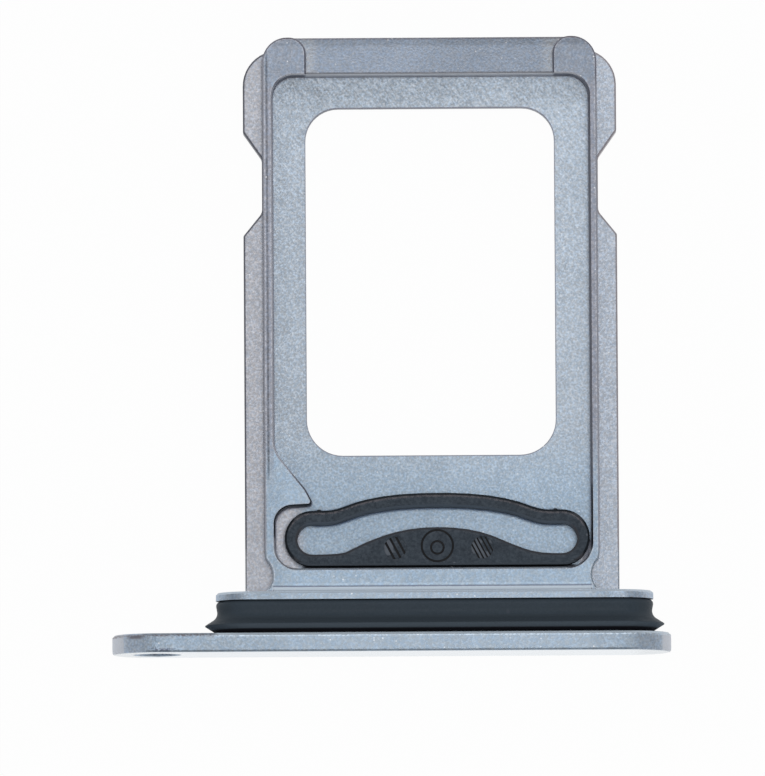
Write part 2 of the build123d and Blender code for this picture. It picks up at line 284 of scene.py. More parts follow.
# Limits are read by zone, in millimetres. Along is counted from the plate's front face, across from
# the tray's centre line, side is the distance from that line either way, height is counted up or
# down from the tray's middle, and X from the plate's middle.
trayLook = {
    "centreX": 1.17,  # the tray's centre line
    "floorHeight": (0.23, 0.19),
    "railHeight": (0.25, 0.30),
    "raisedHeight": (0.40, 0.45),
    "rampHeight": (0.82, 0.80),
    "railSide": (4.76, 4.78),
    "runOutRailSide": (4.17, 4.27),  # the cutter's run-outs by the flange are as low as the rails
    "runOutSide": (4.47, 4.52),
    "runOutBegins": (1.78, 1.82),
    "runOutEnds": (3.1, 2.8),
    "rimSide": (4.48, 4.52),
    "nearAlong": (6.8, 4.3),
    "farAlong": (16.03, 16.53),
    "farBarAlong": (16.525, 16.535),
    "aheadAlong": (1.77, 1.75),  # flange, seal groove and plate
    "frontAlong": (0.014, 0.003),
    "leftAcross": (0.5, -0.5),
    "leftRimAcross": (-4.80, -4.38, 0.02),
    "leftRimAlong": (5.8, 16.2, 0.2),
    "rightRimAcross": (4.64, 4.80, 0.02),
    "rightRimAlong": (2.6, 16.2, 0.2),
    "recessEdgeAcross": (-4.80, -3.30, 0.05),
    "recessEdgeAlong": (3.30, 4.45, 0.15),
    "recessAcross": (-3.50, -4.00),
    "recessAlong": (4.33, 4.28),
    "gapAcross": (4.15, 4.25),  # the narrow gap round the clip's right end
    "gapAlong": (3.30, 3.10),
    "clipMiddle": 0.18,  # across
    "clipInsideReach": (4.16, 4.08),  # from the clip's middle
    "clipInsideAlong": (2.6, 3.95, 0.08),
    "armLine": 3.87,  # along: the floor beyond this curved line is beside the clip's arm
    "armBend": 0.052,
    "armSoft": (-0.03, 0.03),
    "armReach": (3.75, 3.45),
    "armAlong": (4.5, 4.3),
    "flangeEndAlong": (1.45, 1.80, 0.02),
    "flangeEndSide": (4.9, 5.7),
    "roundEndReach": (6.7, 7.35),  # from the plate's middle
    "fine": 16.0,  # the three scales of the grain
    "broad": 1.4,
    "dots": 8.0,
    "reach": (0.04, 0.16),  # how far the painted shade of inner corners reaches, and the same in the recess and by the arm
    "lineWidth": 0.06,
    # tones
    "floorTone": (0.405, 0.460, 0.528, 1),
    "recessTone": (0.520, 0.534, 0.585, 1),
    "warmRailTone": (0.398, 0.411, 0.452, 1),
    "coolRailTone": (0.400, 0.442, 0.507, 1),
    "rimTone": (0.300, 0.318, 0.374, 1),
    "nearTone": (0.352, 0.438, 0.535, 1),
    "plateTone": (0.382, 0.461, 0.551, 1),
    "postTone": (0.270, 0.306, 0.370, 1),
    "rampTone": (0.434, 0.500, 0.608, 1),
    # painted highlight on the cove behind the flange and on the flange's and near bar's bevels
    "coveHighlightTone": (0.750, 0.860, 0.980, 1),
    # painted light on upright walls that face sideways
    "sideWallLightTone": (0.300, 0.325, 0.380, 1),
    # painted reflection of the posts on the ramp beside them
    "postReflectionTone": (0.560, 0.600, 0.660, 1),
    "frontTone": (0.675, 0.745, 0.810, 1),
    # painted shade in inner corners
    "cornerShadeTone": (0.092, 0.104, 0.140, 1),
    # painted shade on bevels and walls
    "bevelShadeTone": (0.130, 0.135, 0.165, 1),
    # painted light on the bevels of the left pocket wall
    "leftBevelLightTone": (0.640, 0.650, 0.720, 1),
    "litBevelTone": (0.840, 0.870, 0.930, 1),
    # painted light on the body's outer side bevels
    "sideBevelLightTone": (0.450, 0.465, 0.530, 1),
    # painted light on the right rail's slopes
    "railBevelLightTone": (0.420, 0.385, 0.410, 1),
    # painted shade on the posts' bevels
    "postBevelShadeTone": (0.230, 0.232, 0.285, 1),
    # painted light on the round ends of the plate and the flange
    "roundEndLightTone": (0.620, 0.730, 0.880, 1),
    # painted shade as dark lines right beside outer edges
    "edgeShadeTone": (0.150, 0.152, 0.190, 1),
    # painted shadow on the recess's walls and in the gap by the clip's right end
    "gapShadowTone": (0.008, 0.008, 0.012, 1),
    # painted shadow on the floor in the gap behind the clip's foot
    "footGapShadowTone": (0.035, 0.037, 0.047, 1),
    # painted shadow on the floor beside the clip's arm
    "armShadowTone": (0.085, 0.116, 0.178, 1),
    # painted highlight for the broken pale lines beside edges
    "lineTone": (0.620, 0.620, 0.660, 1),
    # the same painted edge line on the floor, which is darker there
    "windowLineTone": (0.290, 0.290, 0.350, 1),
    "speckTone": (0.950, 0.960, 0.970, 1),
    "brownTone": (0.160, 0.115, 0.125, 1),
    # painted highlight along the plate's back edge
    "streakHighlightTone": (0.780, 0.890, 1.000, 1),
    # a real smudge by the pin hole, and painted shade inside the plate's round ends and at the feet of the
    # cove and flange; also a dark line by the plate's front
    "smudgeAndShadeTone": (0.110, 0.120, 0.180, 1),
    # painted light on the plate's round ends
    "paleEndLightTone": (0.690, 0.710, 0.760, 1),
    # painted shade in the pin hole's mouth
    "holeShadeTone": (0.240, 0.205, 0.235, 1),
    # blasted metal, region by region
    "railHueAcross": (-2.0, 2.0),
    "besideRampSide": (3.11, 3.48),
    "besideRampAmount": 0.75,
    "roundEndAmounts": (0.62, 1.0),  # on the right and on the left
    "flangeEndAmount": 0.45,
    # grain and shading
    "speckle": 0.31,
    "tint": 0.042,
    "mottle": 0.07,
    "swirl": 0.22,
    "swirlAngle": 52,  # degrees, slant of the cutter's marks
    "swirlStretch": (4.5, 13.0, 1.0),
    "swirlDistortion": 0.6,
    "swirlContrast": (0.32, 0.68),
    "swirlAlong": (8.0, 15.5, 0.30, 1.0),
    "railRougher": 0.35,
    "floorRougher": 0.20,
    "nearSmoother": 0.25,
    "rampSmoother": 0.20,
    "aheadSmoother": 0.17,
    "brighterAlong": (1.0, 16.0, -0.06, 0.06),
    "rimBandSide": (4.622, 4.682, 0.012),  # painted shade in a band along the left rim
    "rimBandAlong": (5.0, 17.1, 0.2),
    "rimBandDepth": 0.44,
    "farFloorAlong": (15.2, 16.2),
    "farFloorDepth": 0.15,
    "leftFloorAcross": (2.5, -2.5),
    "leftFloorDepth": 0.07,
    "rightRimDepth": 0.10,
    "blockAcross": (-4.0, -4.5),
    "blockDepth": 0.10,
    # painted shade across the tops at the far end
    "farRimAlong": (17.38, 17.60, 0.07),
    "farRimDepth": 0.20,
    "toolLineAlong": (16.13, 16.15, 0.012),  # a short scratch on the floor before the ramp
    "toolLineX": (-2.50, -1.70, 0.25),
    "toolLineDepth": 0.28,
    "glintAlong": (1.93, 1.97, 0.015),  # a pale line on the near bar
    "glintAmount": 0.16,
    # slopes and edges
    "sideBevelSide": (4.725, 4.78, 0.01),
    "farFreeAlong": (17.2, 17.0),
    "rampSide": (3.6, 3.5),
    "rampBevelAlong": (16.528, 16.544, 0.003),
    "rampLineAlong": (16.552, 16.605, 0.006),
    "rampLineAmount": 0.5,
    "coveAlong": (1.75, 1.87, 0.02),  # the small rounding behind the flange
    "coveSide": (4.6, 4.5),
    "coveFootAlong": (1.866, 1.905, 0.008),
    "coveFootAmount": 0.7,
    "flangeFootAlong": (1.752, 1.778, 0.008),
    "flangeFootAmount": 0.30,
    "flangeBevelAlong": (1.68, 1.77, 0.01),
    "flangeBevelAmount": 0.8,
    "leftPocketAcross": (-3.6, -4.3),
    "leftBevelAmounts": (0.18, 0.0),  # on the right and on the left
    "nearBarAlong": (2.36, 2.49, 0.02),
    "nearBarSide": (4.0, 3.8),
    "nearBarAmount": 0.8,
    "runOutAmounts": (0.04, 0.28),  # what is left of the run-outs' lines, on the right and on the left
    "slopeAmount": 0.85,
    "lineBreaks": (0.2, 0.8, 0.10, 0.55),
    "floorLineMore": 0.25,
    "leftPocketPaler": 0.9,
    "coreAmounts": (0.80, 0.40),
    "farEdgeAlong": (17.55, 17.62, 0.01),
    "farEdgeAmount": 0.40,
    "cavityAmounts": (0.85, 0.3),  # elsewhere, and on the left pocket wall
    "insideAmounts": (1.0, 0.55),  # elsewhere, and inside the clip and at the far end
    "armStripCavity": (0.05, 0.35),
    "clipGapAcross": (4.50, 4.64, 0.015),
    "clipGapAlong": (2.9, 4.75, 0.15),
    "footGapAlong": (2.38, 2.52, 0.01),
    "footGapAcross": (-3.7, 4.1, 0.1),
    "speckAmounts": (0.35, 0.6),  # elsewhere, and on raised faces
    # the front plate
    "wear": (0.25, 0.75, 1.0, 0.15),
    "leftEndX": (-7.60, -7.66),
    "rightEndX": (7.66, 7.76),
    "endAmount": 0.75,
    "leftShadeX": (-7.58, -7.24, 0.06),
    "rightShadeX": (7.38, 7.62, 0.06),
    "shadeAmount": 0.04,
    "smudgeX": (-6.86, -6.22, 0.12),
    "smudgeAlong": (0.03, 0.12, 0.04),
    "smudgeAmount": 0.8,
    "bareEndX": (-4.9, -5.1),  # the plate's end with the pin hole has no bright streak
    "backLineAlong": (0.455, 0.515, 0.02),
    "thickLineAlong": (0.40, 0.50, 0.03),
    "thickLineX": (-7.50, -7.10, 0.10),
    "backLineAmount": 0.7,
    "backSlopeAlong": (0.490, 0.545, 0.01),
    "backSlopeAmount": 0.8,
    "streakAlong": (0.445, 0.500, 0.012),
    "streakBreaks": (0.3, 0.8, 0.35, 1.0),
    "streakAmount": 0.50,
    "frontLineAlong": (0.006, 0.045, 0.008),
    "frontLineAmount": 0.12,
    "holeX": -6.69,
    "holeReach": (0.60, 0.58),
    # finish
    "grainDepth": 0.003,
    "roughness": (0.50, 0.16),  # blasted, and the polished front
    "backBevelAlong": (0.46, 0.57, 0.01),
    "coveDulling": 0.9,  # slopes and round ends scatter the light instead of mirroring the walls, so that the pale tones painted on them show as painted light
    "bevelDulling": 0.8,
    "rampDulling": 0.5,
    "roundEndDulling": 0.46,
    "runOutDulling": 0.6,
}


def trayRegions(tree, place, look):
    # masks for the parts of the tray, by where they lie
    x, along, z = splitAxes(tree, place)
    across = minus(tree, x, look["centreX"])
    side = maths(tree, "ABSOLUTE", across)
    height = maths(tree, "ABSOLUTE", z)
    floor = zone(tree, height, look["floorHeight"])
    raised = zone(tree, height, look["raisedHeight"])
    ahead = zone(tree, along, look["aheadAlong"])
    runOutSide = zone(tree, side, look["runOutSide"])
    runOutAlong = within(tree, (along, look["runOutEnds"]), (along, look["runOutBegins"]))
    atRailHeight = times(tree, zone(tree, height, look["railHeight"]), opposite(tree, raised))
    lowRunOut = times(tree, atRailHeight, zone(tree, side, look["runOutRailSide"]))
    leftRim = within(tree, (across, look["leftRimAcross"]), (along, look["leftRimAlong"]))
    rightRim = within(tree, (across, look["rightRimAcross"]), (along, look["rightRimAlong"]))
    byRecess = within(tree, (across, look["recessEdgeAcross"]), (along, look["recessEdgeAlong"]))
    recess = within(tree, (across, look["recessAcross"]), (along, look["recessAlong"]))
    gap = within(tree, (across, look["gapAcross"]), (along, look["gapAlong"]))
    fromClip = maths(tree, "ABSOLUTE", minus(tree, across, look["clipMiddle"]))
    armLine = minus(tree, look["armLine"], times(tree, fromClip, fromClip, look["armBend"]))
    armSide = zone(tree, minus(tree, along, armLine), look["armSoft"])
    armReach = within(tree, (fromClip, look["armReach"]), (along, look["armAlong"]))
    clipReach = zone(tree, fromClip, look["clipInsideReach"])
    fromMiddle = maths(tree, "ABSOLUTE", x)
    return {
        "x": x, "z": z, "across": across, "side": side, "along": along,
        "floor": floor,
        "raised": raised,
        "ahead": ahead,
        "behind": opposite(tree, ahead),
        "rail": largest(tree, zone(tree, side, look["railSide"]), lowRunOut),
        "runOut": times(tree, runOutSide, runOutAlong),
        "near": zone(tree, along, look["nearAlong"]),
        "far": zone(tree, along, look["farAlong"]),
        "ramp": within(tree, (along, look["farBarAlong"]), (height, look["rampHeight"])),
        "rim": times(tree, raised, zone(tree, side, look["rimSide"])),
        "front": zone(tree, along, look["frontAlong"]),
        "left": zone(tree, across, look["leftAcross"]),
        "plainRim": times(tree, raised, largest(tree, leftRim, rightRim)),
        "recessEdge": times(tree, byRecess, raised),
        "recess": times(tree, floor, largest(tree, recess, gap)),
        "clipInside": times(tree, clipReach, zone(tree, along, look["clipInsideAlong"])),
        "armStrip": times(tree, armSide, floor, armReach),
        "flangeEnd": within(tree, (along, look["flangeEndAlong"]), (side, look["flangeEndSide"])),
        "roundEnd": times(tree, ahead, zone(tree, fromMiddle, look["roundEndReach"])),
    }


def traySlopes(tree, look, here, lines):
    # masks that also need the way a face is turned
    along, raised = here["along"], here["raised"]
    slanted = opposite(tree, lines["Flat"])
    cove = zone(tree, along, look["coveAlong"])
    onBar = times(tree, raised, zone(tree, here["side"], look["coveSide"]))
    onRamp = zone(tree, here["side"], look["rampSide"])
    leftWall = zone(tree, here["across"], look["leftPocketAcross"])
    inPocket = times(tree, opposite(tree, here["far"]), opposite(tree, here["recessEdge"]))
    runOutLeft = times(tree, here["runOut"], byMask(tree, here["left"], look["runOutAmounts"]))
    return {
        "flat": lines["Flat"],
        "slanted": slanted,
        "post": times(tree, raised, here["far"]),
        "right": opposite(tree, here["left"]),
        "cove": cove,
        "onCove": times(tree, cove, onBar),
        "coveFoot": times(tree, zone(tree, along, look["coveFootAlong"]), onBar),
        "flangeFoot": times(tree, zone(tree, along, look["flangeFootAlong"]), onBar),
        "flangeBevel": times(tree, zone(tree, along, look["flangeBevelAlong"]), slanted),
        "rampBevel": times(tree, zone(tree, along, look["rampBevelAlong"]), onRamp),
        "rampLine": times(tree, zone(tree, along, look["rampLineAlong"]), onRamp, raised),
        "leftWall": leftWall,
        "leftPocket": times(tree, leftWall, raised, inPocket),
        "softer": plus(tree, opposite(tree, here["runOut"]), runOutLeft),
    }


def blastedColour(tree, look, here):
    # plain tones of the blasted metal, region by region, with a painted reflection of the posts on the ramp
    # beside them and painted light on the round ends of the plate and the flange
    railHue = zone(tree, here["across"], look["railHueAcross"])
    railColour = mixColour(tree, railHue, look["warmRailTone"], look["coolRailTone"])
    besideRamp = times(tree, here["ramp"], zone(tree, here["side"], look["besideRampSide"]))
    besideRamp = times(tree, besideRamp, look["besideRampAmount"])
    roundEnd = times(tree, here["roundEnd"], byMask(tree, here["left"], look["roundEndAmounts"]))
    colour = mixColour(tree, here["raised"], look["floorTone"], look["nearTone"])
    colour = paint(
        tree, colour, look,
        (here["rim"], "rimTone"),
        (here["near"], "nearTone"),
        (here["recess"], "recessTone"),
        (here["post"], "postTone"),
        (here["ramp"], "rampTone"),
        (besideRamp, "postReflectionTone"),
    )
    colour = mixColour(tree, here["rail"], colour, railColour)
    return paint(
        tree, colour, look,
        (here["ahead"], "plateTone"),
        (roundEnd, "roundEndLightTone"),
        (times(tree, here["flangeEnd"], look["flangeEndAmount"]), "roundEndLightTone"),
    )


def swirlMarks(tree, place, look):
    # short slanting cutter marks on the pocket floor
    turned = addNode(tree, "ShaderNodeVectorRotate", rotation_type="Z_AXIS")
    tree.links.new(place, turned.inputs["Vector"])
    turned.inputs["Angle"].default_value = math.radians(look["swirlAngle"])
    drawnOut = addNode(tree, "ShaderNodeVectorMath", operation="MULTIPLY")
    tree.links.new(turned.outputs["Vector"], drawnOut.inputs[0])
    drawnOut.inputs[1].default_value = look["swirlStretch"]
    noise = addNode(tree, "ShaderNodeTexNoise")
    tree.links.new(drawnOut.outputs[0], noise.inputs["Vector"])
    noise.inputs["Scale"].default_value = 1.0
    noise.inputs["Detail"].default_value = 1.0
    noise.inputs["Distortion"].default_value = look["swirlDistortion"]
    return zone(tree, noise.outputs["Fac"], look["swirlContrast"])


def darkerPlaces(tree, look, here):
    # how much darker some stretches of the metal are; the band along the left rim and the one across the far
    # end are painted shade
    along, raised, floor = here["along"], here["raised"], here["floor"]
    rimBand = within(tree, (here["side"], look["rimBandSide"]), (along, look["rimBandAlong"]))
    toolLine = within(tree, (along, look["toolLineAlong"]), (here["x"], look["toolLineX"]))
    rightRim = times(tree, here["right"], raised, largest(tree, here["rim"], here["far"]))
    block = times(tree, raised, here["near"], zone(tree, here["across"], look["blockAcross"]))
    return plus(
        tree,
        times(tree, rimBand, raised, here["left"], look["rimBandDepth"]),
        times(tree, floor, toolLine, look["toolLineDepth"]),
        times(tree, floor, zone(tree, along, look["farFloorAlong"]), look["farFloorDepth"]),
        times(tree, floor, zone(tree, here["across"], look["leftFloorAcross"]), look["leftFloorDepth"]),
        times(tree, zone(tree, along, look["farRimAlong"]), raised, look["farRimDepth"]),
        times(tree, rightRim, look["rightRimDepth"]),
        times(tree, block, look["blockDepth"]),
    )


def grainedColour(tree, colour, look, here, grain, place):
    # grain, cutter's marks and slow changes of brightness over the plain tones
    railRougher = times(tree, here["rail"], look["railRougher"])
    floorRougher = times(tree, here["floor"], look["floorRougher"])
    smoother = plus(
        tree,
        times(tree, here["near"], look["nearSmoother"]),
        times(tree, here["ramp"], look["rampSmoother"]),
        times(tree, here["ahead"], look["aheadSmoother"]),
    )
    speckle = centred(tree, grain["Speckle"], look["speckle"])
    speckle = times(tree, speckle, minus(tree, plus(tree, 1.0, railRougher, floorRougher), smoother))
    mottle = centred(tree, grain["Mottle"], look["mottle"])
    swirl = times(tree, here["floor"], zone(tree, here["along"], look["swirlAlong"]))
    swirl = times(tree, swirl, centred(tree, swirlMarks(tree, place, look), look["swirl"]))
    shade = plus(tree, speckle, mottle, swirl, zone(tree, here["along"], look["brighterAlong"]))
    glint = times(tree, zone(tree, here["along"], look["glintAlong"]), here["raised"], look["glintAmount"])
    shade = plus(tree, times(tree, shade, here["blasted"]), 1.0, glint)
    warm = (1 + look["tint"], 1.0, 1 - look["tint"], 1)
    cool = (1 - look["tint"], 1.0, 1 + look["tint"], 1)
    tinted = mixColour(tree, 1.0, colour, mixColour(tree, grain["Tint"], warm, cool), "MULTIPLY")
    scaled = addNode(tree, "ShaderNodeVectorMath", "grain on colour", operation="SCALE")
    fill(scaled.inputs[0], tinted)
    fill(scaled.inputs["Scale"], minus(tree, shade, darkerPlaces(tree, look, here)))
    return paint(tree, scaled.outputs[0], look, (here["front"], "frontTone"))


def slopeLightAndShade(tree, look, here, lines):
    # painted light and shade for bevels and walls, in place of how each would catch the light
    farFree = times(tree, here["left"], zone(tree, here["along"], look["farFreeAlong"]))
    farFree = largest(tree, farFree, opposite(tree, here["far"]))
    sideBevel = times(tree, zone(tree, here["side"], look["sideBevelSide"]), here["raised"], farFree)
    farBevel = times(tree, lines["Bevel"], lines["Near Wall"], here["far"])
    nearBar = times(tree, zone(tree, here["along"], look["nearBarAlong"]), here["raised"])
    nearBar = times(tree, nearBar, zone(tree, here["side"], look["nearBarSide"]), look["nearBarAmount"])
    leftShare = byMask(tree, here["left"], look["leftBevelAmounts"])
    colour = mixColour(tree, leftShare, look["bevelShadeTone"], look["leftBevelLightTone"])
    return paint(
        tree, colour, look,
        (here["leftPocket"], "leftBevelLightTone"),
        (nearBar, "coveHighlightTone"),
        (here["post"], "postBevelShadeTone"),
        (here["recessEdge"], "gapShadowTone"),
        (lines["Side Wall"], "sideWallLightTone"),
        (sideBevel, "sideBevelLightTone"),
        (times(tree, here["rail"], here["right"]), "railBevelLightTone"),
        (largest(tree, here["rampBevel"], farBevel), "litBevelTone"),
        (here["cove"], "coveHighlightTone"),
    )


def edgeColour(tree, colour, look, here, lines, grain):
    # painted highlights as broken pale lines beside the edges, darker along the floor's edges, painted shade
    # as dark lines right beside them, and a brown line along the far end
    flat, behind, softer = here["flat"], here["behind"], here["softer"]
    broken = zone(tree, grain["Speckle"], look["lineBreaks"])
    broken = maths(tree, "ADD", broken, times(tree, here["floor"], look["floorLineMore"]), clamp=True)
    lineTone = mixColour(tree, here["floor"], look["lineTone"], look["windowLineTone"])
    colour = mixColour(tree, times(tree, lines["Edge"], flat, broken, behind), colour, lineTone)
    paler = largest(tree, times(tree, here["rail"], here["right"]), here["post"])
    paler = largest(tree, paler, times(tree, here["leftPocket"], look["leftPocketPaler"]))
    core = times(tree, lines["Core"], flat, behind, softer, opposite(tree, here["plainRim"]))
    core = times(tree, core, byMask(tree, paler, look["coreAmounts"]))
    farEdge = times(tree, zone(tree, here["along"], look["farEdgeAlong"]), look["farEdgeAmount"])
    farEdge = times(tree, farEdge, opposite(tree, lines["Side Wall"]))
    return paint(tree, colour, look, (core, "edgeShadeTone"), (farEdge, "brownTone"))


def cornerColour(tree, colour, look, here, lines, grain):
    # painted shade in inner corners, painted shadow beside the clip's arm, in the gaps round the clip and
    # behind its foot, and a few bright specks
    leftWall = times(tree, here["leftWall"], opposite(tree, here["near"]))
    deep = byMask(tree, leftWall, look["cavityAmounts"])
    insideOrFar = largest(tree, here["clipInside"], here["far"])
    deep = times(tree, deep, byMask(tree, insideOrFar, look["insideAmounts"]))
    deep = times(tree, deep, opposite(tree, here["armStrip"]))
    armStrip = times(tree, here["armStrip"], zone(tree, lines["Cavity"], look["armStripCavity"]))
    across, along = here["across"], here["along"]
    clipGap = within(tree, (across, look["clipGapAcross"]), (along, look["clipGapAlong"]))
    clipGap = times(tree, clipGap, here["raised"], here["slanted"], opposite(tree, lines["Side Wall"]))
    footGap = within(tree, (along, look["footGapAlong"]), (across, look["footGapAcross"]))
    specks = times(tree, grain["Specks"], here["blasted"], here["flat"])
    return paint(
        tree, colour, look,
        (armStrip, "armShadowTone"),
        (times(tree, lines["Cavity"], here["softer"], deep), "cornerShadeTone"),
        (clipGap, "gapShadowTone"),
        (times(tree, footGap, here["floor"]), "footGapShadowTone"),
        (times(tree, specks, byMask(tree, here["raised"], look["speckAmounts"])), "speckTone"),
    )


def plateColour(tree, colour, look, here, grain):
    # painted highlight streaks along the back edge, painted light on the round ends with painted shade just
    # inside them, a smudge by the pin hole, a dark line by the front, brown lines by the back, and the pin
    # hole's mouth as painted shade
    x, along = here["x"], here["along"]
    edgeOn = times(tree, here["ahead"], here["blasted"])
    uneven = zone(tree, grain["Speckle"], look["wear"])
    ends = largest(tree, zone(tree, x, look["leftEndX"]), zone(tree, x, look["rightEndX"]))
    shades = largest(tree, zone(tree, x, look["leftShadeX"]), zone(tree, x, look["rightShadeX"]))
    bareEnd = zone(tree, x, look["bareEndX"])
    streaked = opposite(tree, bareEnd)
    backSlope = times(tree, zone(tree, along, look["backSlopeAlong"]), streaked)
    streak = times(tree, zone(tree, along, look["streakAlong"]), streaked)
    streak = times(tree, streak, zone(tree, grain["Speckle"], look["streakBreaks"]))
    smudge = times(tree, zone(tree, x, look["smudgeX"]), zone(tree, along, look["smudgeAlong"]), uneven)
    frontLine = times(tree, zone(tree, along, look["frontLineAlong"]), uneven)
    backLine = times(tree, zone(tree, along, look["backLineAlong"]), uneven, bareEnd)
    thickLine = within(tree, (along, look["thickLineAlong"]), (x, look["thickLineX"]))
    fromHole = addNode(tree, "ShaderNodeVectorMath", "distance from the pin hole's axis", operation="LENGTH")
    level = addNode(tree, "ShaderNodeCombineXYZ")
    fill(level.inputs["X"], minus(tree, x, look["holeX"]))
    fill(level.inputs["Z"], here["z"])
    tree.links.new(level.outputs[0], fromHole.inputs[0])
    return paint(
        tree, colour, look,
        (times(tree, ends, edgeOn, look["endAmount"]), "paleEndLightTone"),
        (times(tree, shades, edgeOn, look["shadeAmount"]), "smudgeAndShadeTone"),
        (times(tree, backSlope, look["backSlopeAmount"]), "streakHighlightTone"),
        (times(tree, streak, look["streakAmount"]), "streakHighlightTone"),
        (times(tree, smudge, look["smudgeAmount"]), "smudgeAndShadeTone"),
        (times(tree, frontLine, look["frontLineAmount"]), "smudgeAndShadeTone"),
        (times(tree, largest(tree, backLine, thickLine), look["backLineAmount"]), "brownTone"),
        (zone(tree, fromHole.outputs["Value"], look["holeReach"]), "holeShadeTone"),
    )


def dullSlopes(tree, look, here):
    backBevel = times(tree, zone(tree, here["along"], look["backBevelAlong"]), here["slanted"])
    bevels = largest(tree, backBevel, here["flangeBevel"])
    return largest(
        tree,
        times(tree, here["onCove"], look["coveDulling"]),
        times(tree, bevels, look["bevelDulling"]),
        times(tree, here["rampBevel"], here["slanted"], look["rampDulling"]),
        times(tree, here["roundEnd"], look["roundEndDulling"]),
        times(tree, here["runOut"], here["slanted"], look["runOutDulling"]),
    )


def makeTrayMetal(look):
    material, tree, shader = newMaterial("blastedTrayMetal")
    place = millimetres(tree)
    here = trayRegions(tree, place, look)
    here["blasted"] = opposite(tree, here["front"])
    scales = {"Place": place, "Fine": look["fine"], "Broad": look["broad"], "Dots": look["dots"]}
    grain = useGroup(tree, surfaceGrain, scales)
    reach = byMask(tree, largest(tree, here["recess"], here["armStrip"]), look["reach"])
    lines = useGroup(tree, edgeLines, {"Reach": reach, "Edge Width": look["lineWidth"]})
    here.update(traySlopes(tree, look, here, lines))

    colour = grainedColour(tree, blastedColour(tree, look, here), look, here, grain, place)
    # painted light and shade on slopes and walls
    onSlopes = times(tree, here["slanted"], here["behind"], here["softer"], look["slopeAmount"])
    colour = mixColour(tree, onSlopes, colour, slopeLightAndShade(tree, look, here, lines))
    # painted highlights on the cove and the flange's back bevel, and painted shade lines at the cove's foot,
    # the flange's foot and the ramp's near edge
    colour = paint(
        tree, colour, look,
        (here["onCove"], "coveHighlightTone"),
        (times(tree, here["flangeBevel"], look["flangeBevelAmount"]), "coveHighlightTone"),
        (times(tree, here["coveFoot"], look["coveFootAmount"]), "smudgeAndShadeTone"),
        (times(tree, here["flangeFoot"], look["flangeFootAmount"]), "smudgeAndShadeTone"),
        (times(tree, here["rampLine"], look["rampLineAmount"]), "bevelShadeTone"),
    )
    colour = edgeColour(tree, colour, look, here, lines, grain)
    colour = cornerColour(tree, colour, look, here, lines, grain)
    fill(shader.inputs["Base Color"], plateColour(tree, colour, look, here, grain))
    fill(shader.inputs["Roughness"], byMask(tree, here["front"], look["roughness"]))
    fill(shader.inputs["Metallic"], opposite(tree, dullSlopes(tree, look, here)))
    grainBump(tree, shader, times(tree, grain["Speckle"], here["blasted"], look["grainDepth"]))
    return material


# What the two dark materials share. Limits are read by zone, as on the tray.
darkLook = {
    "mottleShare": 0.45,  # the rest of the change from tone to lightTone is speckle
    "lineBreaks": (0.1, 0.7, 0.35, 1.0),
    "lineLeast": 0.15,  # what is left of the edge line before it begins
    "roughness": (0.50, 0.60),
}

clipLook = darkLook | {
    "name": "darkClipPlastic",
    "tone": (0.017, 0.028, 0.043, 1),
    "lightTone": (0.068, 0.088, 0.112, 1),
    # painted shade in inner corners and in the floors of the sunk mould marks
    "cavityShadeTone": (0.002, 0.002, 0.003, 1),
    "cavityAmount": 1.0,
    # painted shade on the clip's slopes
    "slantTone": (0.014, 0.019, 0.025, 1),
    "footEdge": (2.480, 2.590, 0.01),  # along: the foot's near edge, which gets a painted highlight
    "footEdgeHighlightTone": (0.078, 0.095, 0.118, 1),
    "insideMiddle": 1.35,  # walls on the inside of the loop get a painted lighter tone
    "insideReach": (4.16, 4.08),
    "insideAlong": (2.6, 3.95, 0.05),
    "insideWallLightTone": (0.068, 0.072, 0.084, 1),
    "nearWallAlong": (2.7, 2.9),
    # painted light on walls that face the plate
    "nearWallLightTone": (0.095, 0.125, 0.165, 1),
    # painted highlight lines along edges that face the far end
    "lineTone": (0.420, 0.350, 0.365, 1),
    "lineAmount": 0.65,
    "lineAlong": (3.45, 3.65),
    "lineWidth": 0.12,
    "lineCore": 0.8,  # how dark the painted shade strip between the edge and its painted highlight line is
    "speckTone": (0.200, 0.220, 0.260, 1),
    "speckAmount": 0.5,
    "specular": 0.2,
    "fine": 13.0,
    "broad": 2.5,
    "dots": 5.0,
    "grainDepth": 0.004,
    "reach": 0.05,
    "paleBedHeight": (0.790, 0.800, 0.003),  # beds of the round mould marks, which are paler
    "paleBedBreaks": (0.3, 0.7),
    "paleBedAmount": 0.45,
    "sunkTop": (0.790, 0.782),  # height: mould marks lie between these two, and their floors get painted shade
    "sunkBottom": (0.73, 0.74),
    "sunkAmount": 0.9,
}

sealLook = darkLook | {
    "name": "blackSealRubber",
    "tone": (0.044, 0.061, 0.079, 1),
    "lightTone": (0.056, 0.075, 0.097, 1),
    # painted shade in inner corners and at the foot of the lip
    "cavityShadeTone": (0.014, 0.014, 0.019, 1),
    "cavityAmount": 0.2,
    "slantTone": (0.050, 0.066, 0.083, 1),
    "nearWallAlong": (-0.1, 0.1),
    # painted light on walls that face the plate
    "nearWallLightTone": (0.085, 0.108, 0.132, 1),
    # painted highlight lines along edges that face the far end
    "lineTone": (0.080, 0.090, 0.110, 1),
    "lineAmount": 0.10,
    "lineAlong": (0.0, 0.1),
    "lineWidth": 0.03,
    "speckTone": (0.090, 0.100, 0.125, 1),
    "speckAmount": 0.4,
    "specular": 0.12,
    "fine": 14.0,
    "broad": 0.8,
    "dots": 3.0,
    "grainDepth": 0.002,
    "reach": 0.04,
    "lipHighlightAlong": (0.825, 0.755),  # painted highlight on the lip
    "lipHighlightTone": (0.104, 0.132, 0.162, 1),
    # painted shade at the lip's foot
    "darkFootAlong": (0.710, 0.660),
}


